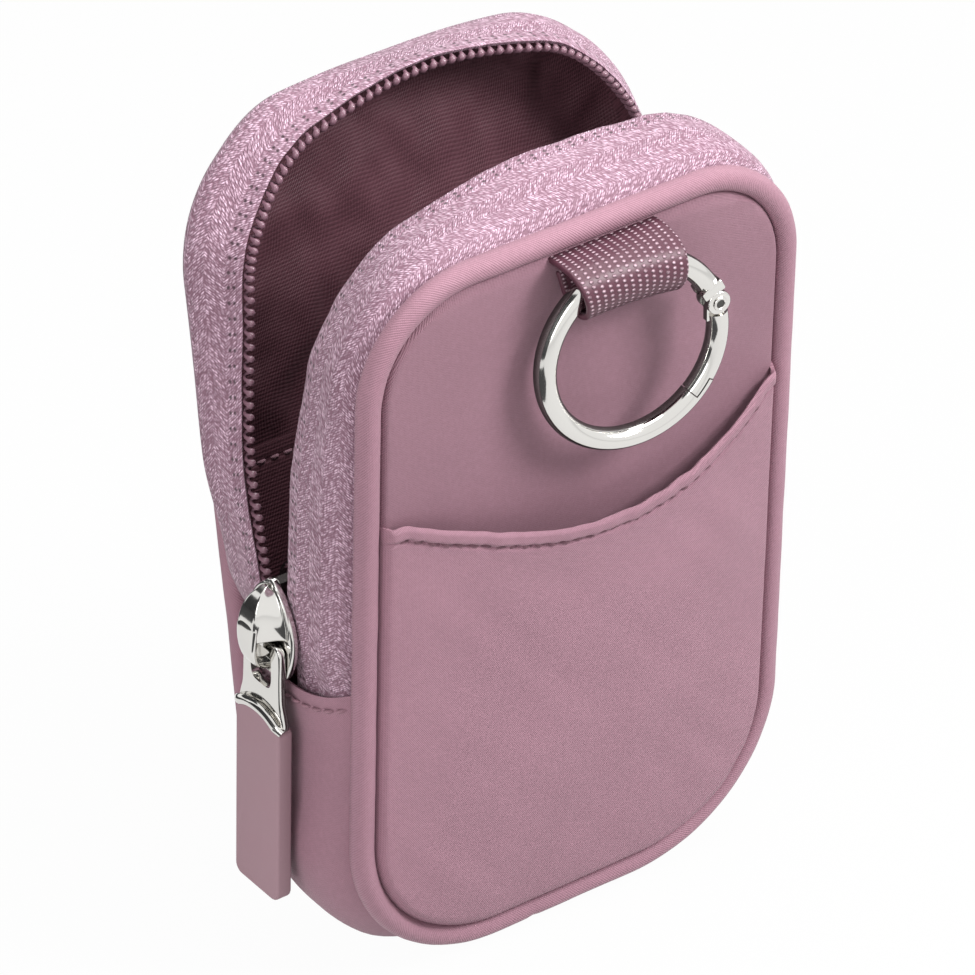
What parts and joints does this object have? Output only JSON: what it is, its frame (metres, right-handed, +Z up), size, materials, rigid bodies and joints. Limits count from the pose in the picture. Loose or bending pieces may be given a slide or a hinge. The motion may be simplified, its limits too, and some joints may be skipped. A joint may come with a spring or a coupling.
{
  "type": "key pouch",
  "caption": "Upright soft key pouch with piped faces, a zip mouth standing open, a front slip pocket, an inner pocket, and a spring-gate ring on a webbing loop.",
  "frame": {"origin": "on the flat underside of the gusset, below the middle of the pouch", "axes": "+X to the right across the front, +Y from the front to the back, +Z up"},
  "size_m": [0.0861, 0.0619, 0.1204],
  "materials": {
    "fabric": "smooth dusty mauve nylon",
    "lining": "plain woven plum lining",
    "tape": "herringbone zip tape",
    "coil": "glossy coil",
    "cord": "soft filler cord",
    "webbing": "ribbed satin webbing",
    "nickel": "polished nickel",
    "steel": "bright steel",
    "silicone": "matte silicone"
  },
  "bodies": {
    "pouch": {"front_panel": "fabric", "front_pocket": "fabric", "front_lining": "lining", "front_piping_cover": "fabric", "front_piping_cord": "cord", "zip_tape_front": "tape", "zip_coil_front": "coil", "bottom_gusset": "fabric", "gusset_lining": "lining", "back_panel_lower": "fabric", "back_lining_lower": "lining", "inner_pocket_lower": "lining", "back_piping_cover_lower": "fabric", "back_piping_cord_lower": "cord", "webbing_loop": "webbing"},
    "back_half": {"back_panel": "fabric", "back_lining": "lining", "inner_pocket": "lining", "back_piping_cover": "fabric", "back_piping_cord": "cord", "zip_tape_back": "tape", "zip_coil_back": "coil"},
    "slider": {"zip_slider": "nickel"},
    "pull": {"pull_tab": "nickel", "pull_grip": "silicone"},
    "ring": {"ring_frame": "nickel", "gate_pin": "steel", "gate_spring": "steel"},
    "gate": {"ring_gate": "nickel"}
  },
  "joints": [
    {"name": "back_close", "type": "hinge", "parent": "pouch", "child": "back_half", "pos_m": [0, 0.017, 0.05], "axis": [1, 0, 0], "range_deg": [0, 17.5]},
    {"name": "zip_slide", "type": "slide", "parent": "pouch", "child": "slider", "axis": [0, 0, 1], "range_m": [0, 0.018]},
    {"name": "pull_swing", "type": "hinge", "parent": "slider", "child": "pull", "pos_m": [-0.0433, 0, 0.0564], "axis": [0, 1, 0], "range_deg": [0, 110]},
    {"name": "ring_swing", "type": "hinge", "parent": "pouch", "child": "ring", "pos_m": [0.0042, -0.0206, 0.1115], "axis": [-1, 0, 0], "range_deg": [0, 150]},
    {"name": "gate_open", "type": "hinge", "parent": "ring", "child": "gate", "pos_m": [0.01798, -0.0206, 0.10224], "axis": [0, 1, 0], "range_deg": [0, 26], "stiffness_Nm_per_rad": 0.02, "springref_deg": -11.46}
  ],
  "couplings": [
    {"joint": "zip_slide", "follows": "back_close", "m_per_rad": 0.058933}
  ]
}
